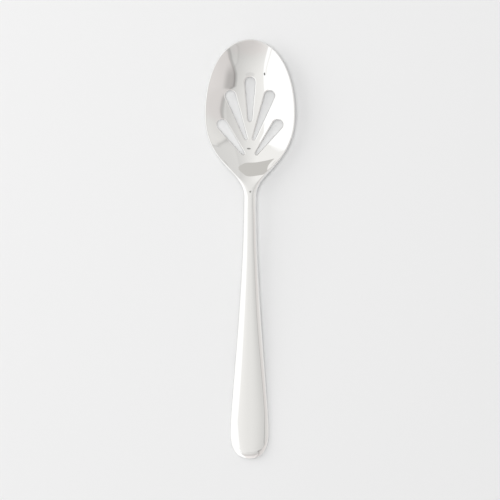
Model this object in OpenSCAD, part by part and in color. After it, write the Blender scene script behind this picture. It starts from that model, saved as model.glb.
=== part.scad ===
// Slotted serving spoon: a drawn bowl pierced with a fan of teardrop slots, and a forged handle.
// All lengths are in millimetres. The spoon lies face up on z = 0, +Y points to the tip of the bowl,
// and the origin is under the middle of its length and width.

/* [Spoon] */
// Length from the tip of the bowl to the end of the handle
spoon_len = 240; // [228:1:260]
// Height of the crest of the neck above the table
crest_h = 12; // [11:0.5:14]

/* [Bowl] */
// Distance from the tip of the bowl back to the crest of the neck
bowl_len = 90; // [87:0.5:96]
// Width of the bowl at its widest place
bowl_w = 51.7; // [46:0.1:58]
// Distance from the tip back to the widest place
bowl_wide_at = 43; // [40:0.5:46]
// Distance from the tip back to the lowest place of the bowl
bowl_low_at = 60; // [57:0.5:61]
// Distance from the tip back to the heel, where the metal starts to thicken into the neck
heel_at = 60; // [58:0.5:66]
// Height of the middle of the rim above the table at the tip
rim_tip_h = 9.6; // [8.8:0.1:10.6]
// Radius of the bend along the length at the tip
tip_bend_r = 140; // [100:1:200]
// Radius of the bend along the length at the lowest place of the bowl
floor_bend_r = 60; // [45:1:100]
// Thickness of the metal in the middle of the bowl
bowl_t = 1.5; // [1.1:0.1:2]
// Thickness of the rim
rim_t = 1.1; // [0.9:0.1:1.4]

/* [Slots] */
// Width of a slot at its wide end
slot_w = 5.8; // [4.8:0.1:6.4]
// Width of the middle slot at its narrow end
middle_root_w = 2.2; // [1.4:0.1:3]
// Distance from the tip back to the centre of the middle slot's narrow end
middle_root_at = 45.5; // [44:0.5:48]
// Distance between the centres of the middle slot's two ends
middle_run = 21.3; // [16:0.1:23]
// Width of a side slot at its narrow end
side_root_w = 1.4; // [1:0.1:1.8]
// Distance from the tip back to the centres of the inner slots' narrow ends
inner_root_at = 56.4; // [55.5:0.1:57.5]
// Distance from the middle of the bowl out to the centres of the inner slots' narrow ends
inner_root_off = 2.3; // [2:0.1:2.8]
// Distance between the centres of an inner slot's two ends
inner_run = 26; // [20:0.5:27]
// Angle that an inner slot leans out from the length of the spoon
inner_lean = 20; // [18:0.5:22]
// Distance from the tip back to the centres of the outer slots' narrow ends
outer_root_at = 64.9; // [63.5:0.1:66]
// Distance from the middle of the bowl out to the centres of the outer slots' narrow ends
outer_root_off = 3.9; // [3.6:0.1:4.4]
// Distance between the centres of an outer slot's two ends
outer_run = 20.3; // [16:0.5:21.5]
// Angle that an outer slot leans out from the length of the spoon
outer_lean = 36.2; // [35:0.2:38]

/* [Neck] */
// Width of the neck
neck_w = 7.2; // [6:0.1:9]
// Thickness of the neck
neck_t = 4.6; // [3.6:0.1:5.4]
// Distance in front of the crest over which the edge swells from the thin rim to the round neck
swell_run = 15; // [12:0.5:20]
// Radius of the bend along the length over the crest of the neck
crest_bend_r = 130; // [110:1:170]

/* [Handle] */
// Width of the handle at its widest place
handle_w = 22.2; // [18:0.1:26]
// Distance from the end of the handle back to its widest place
tail_len = 15.5; // [13:0.5:19]
// Thickness of the handle at its widest place
tail_t = 4.2; // [3.4:0.1:5.2]
// Distance from the end of the handle over which its thickness rounds off
tail_round_run = 6.5; // [4.5:0.1:9]
// How far the middle of the metal stands above its edges
crown = 0.5; // [0.2:0.1:0.8]
// Radius of the bend along the length under the tail
tail_bend_r = 160; // [130:1:240]

/* [Hidden] */

// Places along the length
tip_y = spoon_len / 2;
end_y = -spoon_len / 2;
wide_y = tip_y - bowl_wide_at;
low_y = tip_y - bowl_low_at;
crest_y = tip_y - bowl_len;
tail_y = end_y + tail_len;
heel_y = tip_y - heel_at;
swell_y = crest_y + swell_run;

// Slope of the floor of the bowl and of its rim where they meet at the tip
tip_slope = 0.34;
rim_slope = -0.02;

// Power of the curve that dishes the bowl: 2 is a parabola, more is flatter in the middle
bowl_power = 2.05;
// Power of the curve that rounds the sides and the end of the handle
side_power = 2.1;
// Shares of the lengths of bowl and handle that pull the outline straight at the wide and narrow ends
bowl_pull_shares = [0.595, 0.306];
handle_pull_shares = [0.375, 0.107];
// Shares of an end's length and half-width that pull its outline straight before and after it turns
tip_pull_shares = [0.595, 0.587];
tail_pull_shares = [0.66, 0.69];
// Share of the half-width of the handle that its rounded side takes
side_share = 0.92;
// Share of the full half-width at which the tip and the end of the handle close
close_share = 0.04;

// Steps round and along the two forms
flat_n = 12;
side_n = 6;
tip_n = 20;
blend_n = 30;
handle_n = 36;
tail_n = 14;
slot_fn = 48;
// Overrun of every cut past the metal
over = bowl_t;
// Short step along the length, used to read a slope, as a share of the thickness of the rim
probe_share = 0.02;
probe = rim_t * probe_share;

// Bezier curve of four values
function bezier(t, a, b, c, d) =
    a * pow(1 - t, 3) + 3 * b * t * pow(1 - t, 2) + 3 * c * t * t * (1 - t) + d * pow(t, 3);

// Weights of a value, a slope and a bend at the start of a quintic curve
function value_weight(t) = 1 - pow(t, 3) * (10 - 15 * t + 6 * t * t);
function slope_weight(t) = t - pow(t, 3) * (6 - 8 * t + 3 * t * t);
function bend_weight(t) = t * t * pow(1 - t, 3) / 2;

// Quintic curve at y from ya to yb, where a and b hold the value, slope and bend at each end
function quintic(y, ya, a, yb, b) =
    let (run = yb - ya, t = (y - ya) / run)
    a[0] * value_weight(t) + a[1] * run * slope_weight(t) + a[2] * run * run * bend_weight(t)
    + b[0] * value_weight(1 - t) - b[1] * run * slope_weight(1 - t)
    + b[2] * run * run * bend_weight(1 - t);

// Smooth change from 0 at y = from to 1 at y = to, level outside them
function ease(y, from, to) =
    let (t = max(0, min(1, (y - from) / (to - from))))
    1 - value_weight(t);

// Share of the thickness that is left at a share of the run over which an end rounds off
function rounded(share) =
    let (gone = 1 - max(0, min(1, share)))
    max(close_share, pow(1 - pow(gone, side_power), 1 / side_power));

// Place and half-width at t on the outline of an end that starts at y with a half-width and is reach long
function end_outline(t, y, half_w, reach, pulls) =
    [bezier(t, y, y + reach * pulls[0], y + reach, y + reach),
     half_w * max(close_share, bezier(t, 1, 1, pulls[1], 0))];

// Stations of each form: place along y, half-width and its share of the full half-width
tip_stations = [for (k = [tip_n:-1:0])
    let (end = end_outline(k / tip_n, wide_y, bowl_w / 2, bowl_wide_at, tip_pull_shares))
    [end[0], end[1], 1]];
blend_len = wide_y - crest_y;
blend_stations = [for (k = [1:blend_n])
    let (t = k / blend_n)
    [bezier(t, wide_y, wide_y - blend_len * bowl_pull_shares[0],
            crest_y + blend_len * bowl_pull_shares[1], crest_y),
     bezier(t, bowl_w / 2, bowl_w / 2, neck_w / 2, neck_w / 2), 1]];
handle_len = crest_y - tail_y;
handle_stations = [for (k = [0:handle_n])
    let (t = k / handle_n)
    [bezier(t, crest_y, crest_y - handle_len * handle_pull_shares[0],
            tail_y + handle_len * handle_pull_shares[1], tail_y),
     bezier(t, neck_w / 2, neck_w / 2, handle_w / 2, handle_w / 2), 1]];
tail_stations = [for (k = [1:tail_n])
    let (end = end_outline(k / tail_n, tail_y, handle_w / 2, -tail_len, tail_pull_shares))
    [end[0], end[1], 2 * end[1] / handle_w]];

bowl_line = concat(tip_stations, blend_stations);
handle_line = concat(handle_stations, tail_stations);

// Height of the middle of the metal along the outline
crest_edge_h = crest_h - neck_t / 2 - crown;
tail_edge_h = tail_t / 2 - crown;
function edge_h(y) =
    y > crest_y
        ? quintic(y, tip_y, [rim_tip_h, rim_slope, 1 / tip_bend_r],
                  crest_y, [crest_edge_h, 0, -1 / crest_bend_r])
    : y > tail_y
        ? quintic(y, crest_y, [crest_edge_h, 0, -1 / crest_bend_r],
                  tail_y, [tail_edge_h, 0, 1 / tail_bend_r])
    : tail_edge_h + pow(y - tail_y, 2) / (2 * tail_bend_r);

// Height of the middle of the metal along the middle of the spoon
function keel_h(y, fullness) =
    y > low_y
        ? quintic(y, tip_y, [rim_tip_h, tip_slope, 1 / tip_bend_r],
                  low_y, [bowl_t / 2, 0, 1 / floor_bend_r])
    : y > crest_y
        ? quintic(y, low_y, [bowl_t / 2, 0, 1 / floor_bend_r],
                  crest_y, [crest_edge_h + crown, 0, -1 / crest_bend_r])
    : edge_h(y) + crown * fullness * fullness;

// Thickness of the metal along the middle of the spoon, and along its edge
function middle_t(y) =
    y > crest_y
        ? bowl_t + (neck_t - bowl_t) * ease(y, heel_y, crest_y)
        : neck_t + (tail_t - neck_t) * ease(y, crest_y, tail_y);
function edge_t(y) =
    y > crest_y ? rim_t + (neck_t - rim_t) * ease(y, heel_y, crest_y) : middle_t(y);

// Points round one cross-section, from the right edge over the top and back underneath.
// A mark holds a place across the flat part and an angle round the side.
top_marks = concat(
    [for (k = [0:side_n - 1]) [1, 90 * (1 - k / side_n)]],
    [for (k = [0:flat_n]) [1 - 2 * k / flat_n, 0]],
    [for (k = [1:side_n]) [-1, 90 * k / side_n]]);

function section(y, half_w, fullness, widening) =
    let (
        keel = keel_h(y, fullness),
        edge = edge_h(y),
        slope_y = (keel_h(y + probe, fullness) - keel_h(y - probe, fullness)) / (2 * probe),
        lean = sqrt(1 + slope_y * slope_y),
        swell = ease(y, swell_y, crest_y),
        power = 2 + (side_power - 2) * swell,
        rim_r = rim_t / 2,
        full = rounded((tip_y - y) / rim_r) * rounded((y - end_y) / tail_round_run) * lean,
        edge_slope = bowl_power * (edge - keel) / half_w,
        edge_cos = 1 / sqrt(1 + edge_slope * edge_slope),
        side = min(half_w * side_share,
                   rim_r * sqrt(1 + widening * widening) * (1 - swell) + half_w * side_share * swell),
        run = side * edge_cos,
        fall = side * sqrt(1 - edge_cos * edge_cos) * (1 - swell),
        flat = half_w - sqrt(run * run + fall * fall)
    )
    [for (face = [1, -1])
        for (k = face > 0 ? [0:len(top_marks) - 1] : [len(top_marks) - 2:-1:1])
            let (
                mark = top_marks[k],
                x = mark[0] * flat + sign(mark[0]) * run * pow(sin(mark[1]), 2 / power),
                s = min(1, abs(x) / half_w),
                slope = bowl_power * (edge - keel) * pow(s, bowl_power - 1) / half_w * sign(x),
                stretch = sqrt(1 + slope * slope),
                t = middle_t(y) + (edge_t(y) - middle_t(y)) * s * s,
                h = face * t / 2 * full * pow(cos(mark[1]), 2 / power)
            )
            [x - h * slope / stretch, y, keel + (edge - keel) * pow(s, bowl_power) + h / stretch]];

// Closed skin over the cross-sections of a line of stations
module skin(line) {
    last = len(line) - 1;
    sections = [for (k = [0:last])
        let (
            before = line[max(0, k - 1)],
            after = line[min(last, k + 1)],
            widening = (after[1] - before[1]) / (after[0] - before[0])
        )
        section(line[k][0], line[k][1], line[k][2], widening)];
    count = len(sections[0]);
    sides = [for (k = [0:last - 1])
        for (j = [0:count - 1])
            let (next = (j + 1) % count, a = k * count, b = a + count)
            each [[a + j, a + next, b + j], [a + next, b + next, b + j]]];
    start_cap = [for (j = [count - 1:-1:0]) j];
    end_cap = [for (j = [0:count - 1]) last * count + j];
    polyhedron(points = [for (one = sections) each one], faces = concat([start_cap], sides, [end_cap]));
}

// One teardrop cut: the narrow end is at the root, and the wide end lies run away at the lean
module teardrop_cut(root_x, root_at, root_w, run, lean) {
    small_r = root_w / 2;
    large_r = slot_w / 2;
    // Angle at which the straight sides touch both round ends
    touch = acos((large_r - small_r) / run);
    translate([root_x, tip_y - root_at, -over])
        rotate([0, 0, 90 - lean])
            linear_extrude(height = crest_h + 2 * over)
                union() {
                    circle(r = small_r, $fn = slot_fn);
                    translate([run, 0])
                        circle(r = large_r, $fn = slot_fn);
                    polygon([
                        [-small_r * cos(touch), small_r * sin(touch)],
                        [run - large_r * cos(touch), large_r * sin(touch)],
                        [run - large_r * cos(touch), -large_r * sin(touch)],
                        [-small_r * cos(touch), -small_r * sin(touch)]
                    ]);
                }
}

// The fan of five slots
module slot_fan() {
    teardrop_cut(0, middle_root_at, middle_root_w, middle_run, 0);
    for (hand = [-1, 1]) {
        teardrop_cut(hand * inner_root_off, inner_root_at, side_root_w, inner_run, hand * inner_lean);
        teardrop_cut(hand * outer_root_off, outer_root_at, side_root_w, outer_run, hand * outer_lean);
    }
}

// Drawn bowl: a dished shell with a rounded rim, whose heel thickens into the neck
module bowl() {
    color([0.86, 0.86, 0.85])
        difference() {
            skin(bowl_line);
            slot_fan();
        }
}

// Forged handle: from the crest of the neck to the plump rounded tail
module handle() {
    color([0.8, 0.8, 0.79])
        skin(handle_line);
}

bowl();
handle();
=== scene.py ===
"""Slotted serving spoon, finished and lit for its picture.

Every length is in metres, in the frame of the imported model: the spoon lies face up on z = 0, +Y points to
the tip of the bowl, and the origin is under the middle of its length and width. The surface is worked out
once for the whole spoon, as cross-sections carried along it, and is then parted at the crest of the neck
into the bowl and the handle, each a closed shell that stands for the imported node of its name.
"""

import logging
import math
from dataclasses import dataclass, field
from enum import Enum
from functools import reduce
from typing import ClassVar

import bpy
import numpy as np
from mathutils.geometry import delaunay_2d_cdt
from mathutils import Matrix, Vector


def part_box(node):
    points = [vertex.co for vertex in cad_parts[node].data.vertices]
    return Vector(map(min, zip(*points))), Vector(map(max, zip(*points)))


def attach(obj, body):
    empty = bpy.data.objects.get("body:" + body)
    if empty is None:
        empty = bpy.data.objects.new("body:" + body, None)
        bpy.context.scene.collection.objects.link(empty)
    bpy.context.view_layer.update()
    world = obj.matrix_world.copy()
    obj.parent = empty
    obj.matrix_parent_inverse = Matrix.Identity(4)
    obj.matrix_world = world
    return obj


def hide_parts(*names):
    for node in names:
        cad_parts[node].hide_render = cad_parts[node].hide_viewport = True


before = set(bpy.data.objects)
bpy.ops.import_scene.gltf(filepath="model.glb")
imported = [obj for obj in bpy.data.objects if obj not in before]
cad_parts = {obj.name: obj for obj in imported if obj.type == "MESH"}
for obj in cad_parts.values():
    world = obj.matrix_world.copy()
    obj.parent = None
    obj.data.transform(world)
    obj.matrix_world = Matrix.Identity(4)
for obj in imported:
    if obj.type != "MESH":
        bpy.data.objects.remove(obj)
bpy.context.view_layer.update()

MM_PER_M = 1000.0
BODY = "root"
ROUND_POWER = 2.0

log = logging.getLogger("slotted_spoon")


class Face(Enum):
    """The two faces of the metal, as the side of its middle surface that each lies on."""

    UPPER = 1.0
    LOWER = -1.0


def bezier(t: np.ndarray, ends: tuple[float, ...]) -> np.ndarray:
    """Bezier curve of four values: each is weighed by a power of t, a power of 1 - t, and 1, 3, 3 or 1.

    Args:
        t: parameter, from 0 at the first value to 1 at the last.
        ends: the four values that pull the curve.

    Returns:
        The value of the curve at each t.
    """
    first, second, third, last = ends
    rest = 1.0 - t
    return first * rest**3 + 3.0 * second * t * rest**2 + 3.0 * third * t * t * rest + last * t**3


def bezier_rate(t: np.ndarray, ends: tuple[float, ...]) -> np.ndarray:
    """Rate of change of the Bezier curve of four values with its parameter.

    Args:
        t: parameter, from 0 to 1.
        ends: the four values that pull the curve.

    Returns:
        The rate at each t: the three steps between neighbouring values, weighed by 3, 6 and 3.
    """
    first, second, third, last = ends
    rest = 1.0 - t
    return 3.0 * (second - first) * rest**2 + 6.0 * (third - second) * t * rest + 3.0 * (last - third) * t**2


def ease(y: np.ndarray, start: float, stop: float) -> np.ndarray:
    """Smooth change from 0 at start to 1 at stop: ten cubes less fifteen fourth powers plus six fifth powers.

    Args:
        y: places along the spoon.
        start: place where the change begins.
        stop: place where it ends.

    Returns:
        The share of the change at each place, level outside the two.
    """
    t = np.clip((y - start) / (stop - start), 0.0, 1.0)
    return t**3 * (10.0 - 15.0 * t + 6.0 * t * t)


@dataclass(frozen=True)
class Bend:
    """What a curve along the spoon has at one of its ends: its height, its slope and its bend."""

    height: float
    slope: float
    bend: float


def quintic(y: np.ndarray, start_y: float, start: Bend, stop_y: float, stop: Bend) -> np.ndarray:
    """Fifth-power curve that keeps height, slope and bend at both ends.

    Args:
        y: places along the spoon.
        start_y: place of the first end.
        start: what the curve has there.
        stop_y: place of the second end.
        stop: what the curve has there.

    Returns:
        The height at each place: each end's height, slope and bend times its own weight, where a weight is 1
        for what it stands for at its own end and 0 for all else.
    """
    run = stop_y - start_y
    total = np.zeros_like(y)
    for end, sign, t in ((start, 1.0, (y - start_y) / run), (stop, -1.0, (stop_y - y) / run)):
        height_weight = 1.0 - t**3 * (10.0 - 15.0 * t + 6.0 * t * t)
        slope_weight = t - t**3 * (6.0 - 8.0 * t + 3.0 * t * t)
        bend_weight = t * t * (1.0 - t) ** 3 / 2.0
        total = total + end.height * height_weight + sign * end.slope * run * slope_weight
        total = total + end.bend * run * run * bend_weight
    return total


def smooth_tangent(points: np.ndarray, axis: int, closed: bool) -> np.ndarray:
    """Tangent along one axis of a grid of points, by central differences weighed for uneven steps.

    Args:
        points: grid of points, with x, y and z last.
        axis: axis of the grid to go along.
        closed: whether the last point joins the first.

    Returns:
        The tangent at each point: the rate of the step on either side, weighed by the length of the other.
    """
    grid = np.moveaxis(points, axis, 0)
    if closed:
        before, after = np.roll(grid, 1, axis=0), np.roll(grid, -1, axis=0)
    else:
        before = np.concatenate([2.0 * grid[:1] - grid[1:2], grid[:-1]])
        after = np.concatenate([grid[1:], 2.0 * grid[-1:] - grid[-2:-1]])
    tiny = 1e-12
    back = np.linalg.norm(grid - before, axis=-1, keepdims=True) + tiny
    ahead = np.linalg.norm(after - grid, axis=-1, keepdims=True) + tiny
    tangent = ((after - grid) / ahead * back + (grid - before) / back * ahead) / (back + ahead)
    return np.moveaxis(tangent, 0, axis)


def unit(vectors: np.ndarray) -> np.ndarray:
    """Vectors brought to a length of 1."""
    tiny = 1e-15
    return vectors / (np.linalg.norm(vectors, axis=-1, keepdims=True) + tiny)


@dataclass(frozen=True)
class Stretch:
    """One stretch of the outline in plan, a Bezier curve of places along the spoon and of half-widths."""

    places: tuple[float, float, float, float]
    half_widths: tuple[float, float, float, float]

    def parameter(self, y: np.ndarray) -> np.ndarray:
        """Parameter at which the curve passes each place, read from a table and mended by Newton's steps.

        Args:
            y: places along the spoon, on this stretch.

        Returns:
            The parameter at each place.
        """
        table_steps = 256
        newton_steps = 3
        way = math.copysign(1.0, self.places[3] - self.places[0])
        t_table = np.linspace(0.0, 1.0, table_steps + 1)
        t = np.interp(way * y, way * bezier(t_table, self.places), t_table)
        for _ in range(newton_steps):
            t = np.clip(t - (bezier(t, self.places) - y) / self._place_rate(t), 0.0, 1.0)
        return t

    def _place_rate(self, t: np.ndarray) -> np.ndarray:
        """Rate of the place with the parameter, kept off zero where the curve stands square to the spoon.

        Args:
            t: parameter, from 0 to 1.

        Returns:
            The rate at each t.
        """
        tiny = 1e-9
        rate = bezier_rate(t, self.places)
        return np.where(np.abs(rate) < tiny, np.copysign(tiny, self.places[3] - self.places[0]), rate)

    def half_width(self, y: np.ndarray) -> np.ndarray:
        """Half-width of the outline at each place on this stretch."""
        return bezier(self.parameter(y), self.half_widths)

    def rows(self, count: int) -> tuple[np.ndarray, np.ndarray, np.ndarray]:
        """Places, half-widths and widening of rows that part the curve evenly in its parameter.

        Args:
            count: number of steps along the curve.

        Returns:
            The place, the half-width and the rate of the half-width with the place, at count + 1 rows.
        """
        t = np.linspace(0.0, 1.0, count + 1)
        widening = bezier_rate(t, self.half_widths) / self._place_rate(t)
        return bezier(t, self.places), bezier(t, self.half_widths), widening


@dataclass(frozen=True)
class SpoonSizes:
    """Sizes of the spoon, in metres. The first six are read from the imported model.

    A size whose name ends in at is measured back from the tip. Pulls place the two inner values of a stretch
    of the outline, as shares of its run or, where it closes, of its run and its width.
    """

    tip_y: float
    crest_y: float
    end_y: float
    crest_h: float
    bowl_w: float
    handle_w: float
    wide_at: float = 0.043
    low_at: float = 0.060
    heel_at: float = 0.060
    rim_tip_h: float = 0.0096
    tip_bend_r: float = 0.140
    floor_bend_r: float = 0.060
    bowl_t: float = 0.0015
    rim_t: float = 0.0011
    neck_w: float = 0.0072
    neck_t: float = 0.0046
    swell_run: float = 0.015
    crest_bend_r: float = 0.130
    tail_len: float = 0.0155
    tail_t: float = 0.0042
    tail_round_run: float = 0.0065
    crown: float = 0.0005
    tail_bend_r: float = 0.160
    tip_slope: float = 0.34
    rim_slope: float = -0.02
    bowl_power: float = 2.05
    side_power: float = 2.1
    tip_pulls: tuple[float, float] = (0.595, 0.587)
    bowl_pulls: tuple[float, float] = (0.595, 0.306)
    handle_pulls: tuple[float, float] = (0.375, 0.107)
    tail_pulls: tuple[float, float] = (0.66, 0.69)
    side_share: float = 0.92
    close_share: float = 0.02

    @classmethod
    def from_frame(cls) -> "SpoonSizes":
        """Reads the length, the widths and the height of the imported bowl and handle.

        Returns:
            The sizes with these six, and all others as they are given above.
        """
        bowl_low, bowl_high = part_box("bowl")
        handle_low, handle_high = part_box("handle")
        return cls(
            tip_y=bowl_high.y,
            crest_y=bowl_low.y,
            end_y=handle_low.y,
            crest_h=handle_high.z,
            bowl_w=bowl_high.x - bowl_low.x,
            handle_w=handle_high.x - handle_low.x,
        )


class SpoonForm:
    """The shape of the spoon: its outline, its two profiles, its thickness and its cross-sections."""

    def __init__(self, sizes: SpoonSizes) -> None:
        """Works out the stretches of the outline and the ends of the profiles.

        Args:
            sizes: sizes of the spoon.
        """
        self.sizes = s = sizes
        self.wide_y = s.tip_y - s.wide_at
        self.low_y = s.tip_y - s.low_at
        self.heel_y = s.tip_y - s.heel_at
        self.swell_y = s.crest_y + s.swell_run
        self.tail_y = s.end_y + s.tail_len
        bowl_half, neck_half, handle_half = s.bowl_w / 2.0, s.neck_w / 2.0, s.handle_w / 2.0
        blend_len = self.wide_y - s.crest_y
        handle_len = s.crest_y - self.tail_y
        self.tip = Stretch(
            (self.wide_y, self.wide_y + s.wide_at * s.tip_pulls[0], s.tip_y, s.tip_y),
            (bowl_half, bowl_half, bowl_half * s.tip_pulls[1], 0.0),
        )
        self.blend = Stretch(
            (self.wide_y, self.wide_y - blend_len * s.bowl_pulls[0],
             s.crest_y + blend_len * s.bowl_pulls[1], s.crest_y),
            (bowl_half, bowl_half, neck_half, neck_half),
        )
        self.shaft = Stretch(
            (s.crest_y, s.crest_y - handle_len * s.handle_pulls[0],
             self.tail_y + handle_len * s.handle_pulls[1], self.tail_y),
            (neck_half, neck_half, handle_half, handle_half),
        )
        self.tail = Stretch(
            (self.tail_y, self.tail_y - s.tail_len * s.tail_pulls[0], s.end_y, s.end_y),
            (handle_half, handle_half, handle_half * s.tail_pulls[1], 0.0),
        )
        self.crest_edge_h = s.crest_h - s.neck_t / 2.0 - s.crown
        self.tail_edge_h = s.tail_t / 2.0 - s.crown

    def edge_height(self, y: np.ndarray) -> np.ndarray:
        """Height of the middle of the metal along the outline.

        Args:
            y: places along the spoon.

        Returns:
            The height: two quintics that meet at the crest of the neck, and a parabola under the tail.
        """
        s = self.sizes
        tip = Bend(s.rim_tip_h, s.rim_slope, 1.0 / s.tip_bend_r)
        crest = Bend(self.crest_edge_h, 0.0, -1.0 / s.crest_bend_r)
        tail = Bend(self.tail_edge_h, 0.0, 1.0 / s.tail_bend_r)
        rim = quintic(y, s.tip_y, tip, s.crest_y, crest)
        shaft = quintic(y, s.crest_y, crest, self.tail_y, tail)
        end = self.tail_edge_h + (y - self.tail_y) ** 2 / (2.0 * s.tail_bend_r)
        return np.where(y > s.crest_y, rim, np.where(y > self.tail_y, shaft, end))

    def keel_height(self, y: np.ndarray, fullness: np.ndarray) -> np.ndarray:
        """Height of the middle of the metal along the middle of the spoon.

        Args:
            y: places along the spoon.
            fullness: share of the full half-width that the outline has at each place of the tail, else 1.

        Returns:
            The height: two quintics in the bowl, and the edge's height plus the crown along the handle.
        """
        s = self.sizes
        tip = Bend(s.rim_tip_h, s.tip_slope, 1.0 / s.tip_bend_r)
        low = Bend(s.bowl_t / 2.0, 0.0, 1.0 / s.floor_bend_r)
        crest = Bend(self.crest_edge_h + s.crown, 0.0, -1.0 / s.crest_bend_r)
        front = quintic(y, s.tip_y, tip, self.low_y, low)
        back = quintic(y, self.low_y, low, s.crest_y, crest)
        shaft = self.edge_height(y) + s.crown * fullness**2
        return np.where(y > self.low_y, front, np.where(y > s.crest_y, back, shaft))

    def middle_thickness(self, y: np.ndarray) -> np.ndarray:
        """Thickness of the metal along the middle of the spoon.

        Args:
            y: places along the spoon.

        Returns:
            The thickness, which eases from the bowl's to the neck's and from there to the tail's.
        """
        s = self.sizes
        bowl = s.bowl_t + (s.neck_t - s.bowl_t) * ease(y, self.heel_y, s.crest_y)
        handle = s.neck_t + (s.tail_t - s.neck_t) * ease(y, s.crest_y, self.tail_y)
        return np.where(y > s.crest_y, bowl, handle)

    def edge_thickness(self, y: np.ndarray) -> np.ndarray:
        """Thickness of the metal along its edge.

        Args:
            y: places along the spoon.

        Returns:
            The thickness, which eases from the rim's to the neck's and is even across the handle.
        """
        s = self.sizes
        rim = s.rim_t + (s.neck_t - s.rim_t) * ease(y, self.heel_y, s.crest_y)
        return np.where(y > s.crest_y, rim, self.middle_thickness(y))

    def lean(self, y: np.ndarray, fullness: np.ndarray) -> np.ndarray:
        """Length along the keel for each unit of y, which keeps the metal's thickness square to the keel.

        Args:
            y: places along the spoon.
            fullness: share of the full half-width at each place, as for keel_height.

        Returns:
            The length: the root of 1 plus the square of the keel's slope.
        """
        probe = 2e-5
        rise = self.keel_height(y + probe, fullness) - self.keel_height(y - probe, fullness)
        return np.sqrt(1.0 + (rise / (2.0 * probe)) ** 2)

    def rounded(self, share: np.ndarray) -> np.ndarray:
        """Share of the thickness left at a share of the run over which an end rounds off.

        Args:
            share: distance from the end as a share of that run.

        Returns:
            The share of the thickness: 1 less a power of what is left of the run, to one over that power.
        """
        s = self.sizes
        gone = 1.0 - np.clip(share, 0.0, 1.0)
        return np.maximum(s.close_share, (1.0 - gone**s.side_power) ** (1.0 / s.side_power))

    def half_width(self, y: np.ndarray) -> np.ndarray:
        """Half-width of the outline between the tip and the crest of the neck.

        Args:
            y: places along the spoon.

        Returns:
            The half-width at each place.
        """
        front = self.tip.half_width(np.maximum(y, self.wide_y))
        back = self.blend.half_width(np.clip(y, self.sizes.crest_y, self.wide_y))
        return np.where(y > self.wide_y, front, back)

    def sheet(self, x: np.ndarray, y: np.ndarray, half_w: np.ndarray, keel: np.ndarray,
              edge: np.ndarray) -> tuple[np.ndarray, np.ndarray, np.ndarray, np.ndarray]:
        """The middle surface of the metal, lifted from keel to edge by a power of the distance across.

        Args:
            x: distances from the middle, to the right.
            y: places along the spoon.
            half_w: half-width of the outline at each place.
            keel: height of the keel at each place.
            edge: height of the edge at each place.

        Returns:
            The height, the slope across, the stretch that the slope gives, and the thickness.
        """
        power = self.sizes.bowl_power
        s = np.minimum(1.0, np.abs(x) / half_w)
        height = keel + (edge - keel) * s**power
        slope = power * (edge - keel) * s ** (power - 1.0) / half_w * np.sign(x)
        middle, rim = self.middle_thickness(y), self.edge_thickness(y)
        return height, slope, np.sqrt(1.0 + slope**2), middle + (rim - middle) * s * s

    def sections(self, rows: "Rows", marks: "Marks") -> np.ndarray:
        """Points round the cross-sections of the spoon, a row for each place along it.

        The flat part follows the middle surface, and the side is a quarter of a superellipse that is half the
        thickness high. It is as wide as half the rim in the bowl and nearly the half-width in the handle.

        Args:
            rows: places along the spoon with their half-widths.
            marks: places round a cross-section.

        Returns:
            The points, with rows first, marks next and x, y, z last.
        """
        s = self.sizes
        y, half_w = rows.y[:, None], rows.half_w[:, None]
        fullness, widening = rows.fullness[:, None], rows.widening[:, None]
        keel, edge = self.keel_height(y, fullness), self.edge_height(y)
        swell = 1.0 - ease(y, s.crest_y, self.swell_y)
        power = ROUND_POWER + (s.side_power - ROUND_POWER) * swell
        rim_r = s.rim_t / 2.0
        full = self.rounded((s.tip_y - y) / rim_r) * self.rounded((y - s.end_y) / s.tail_round_run)
        full = full * self.lean(y, fullness)
        edge_slope = s.bowl_power * (edge - keel) / half_w
        edge_cos = 1.0 / np.sqrt(1.0 + edge_slope**2)
        side = rim_r * np.sqrt(1.0 + widening**2) * (1.0 - swell) + half_w * s.side_share * swell
        side = np.minimum(half_w * s.side_share, side)
        run = side * edge_cos
        fall = side * np.sqrt(1.0 - edge_cos**2) * (1.0 - swell)
        flat = half_w - np.sqrt(run**2 + fall**2)
        across, turn, face = marks.across[None, :], marks.turn[None, :], marks.face[None, :]
        x = across * flat + np.sign(across) * run * np.sin(turn) ** (ROUND_POWER / power)
        height, slope, stretch, thickness = self.sheet(x, y, half_w, keel, edge)
        offset = face * thickness / 2.0 * full * np.maximum(np.cos(turn), 0.0) ** (ROUND_POWER / power)
        y_all = np.broadcast_to(y, x.shape)
        return np.stack([x - offset * slope / stretch, y_all, height + offset / stretch], axis=-1)

    def surface(self, x: np.ndarray, y: np.ndarray, face: Face) -> np.ndarray:
        """Height of the upper or lower face of the bowl straight above places in plan.

        The face is offset square to the middle surface, so the place on the middle surface that lands over a
        place in plan is found by a few repeated steps.

        Args:
            x: places across the bowl.
            y: places along the bowl.
            face: which face of the metal.

        Returns:
            The height of that face at each place.
        """
        steps = 8
        ones = np.ones_like(y)
        keel, edge = self.keel_height(y, ones), self.edge_height(y)
        half_w, lean = self.half_width(y), self.lean(y, ones)
        middle_x = x
        for _ in range(steps):
            height, slope, stretch, thickness = self.sheet(middle_x, y, half_w, keel, edge)
            offset = face.value * thickness / 2.0 * lean
            middle_x = x + offset * slope / stretch
        return height + offset / stretch

    def surface_normal(self, x: np.ndarray, y: np.ndarray, face: Face) -> np.ndarray:
        """Normal of the upper or lower face of the bowl over places in plan, pointing out of the metal.

        Args:
            x: places across the bowl.
            y: places along the bowl.
            face: which face of the metal.

        Returns:
            The unit normals: minus the slopes across and along, and 1 upward, turned over for the lower face.
        """
        probe = 1e-5
        rise_x = (self.surface(x + probe, y, face) - self.surface(x - probe, y, face)) / (2.0 * probe)
        rise_y = (self.surface(x, y + probe, face) - self.surface(x, y - probe, face)) / (2.0 * probe)
        return unit(np.stack([-rise_x, -rise_y, np.ones_like(x)], axis=-1)) * face.value


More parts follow.
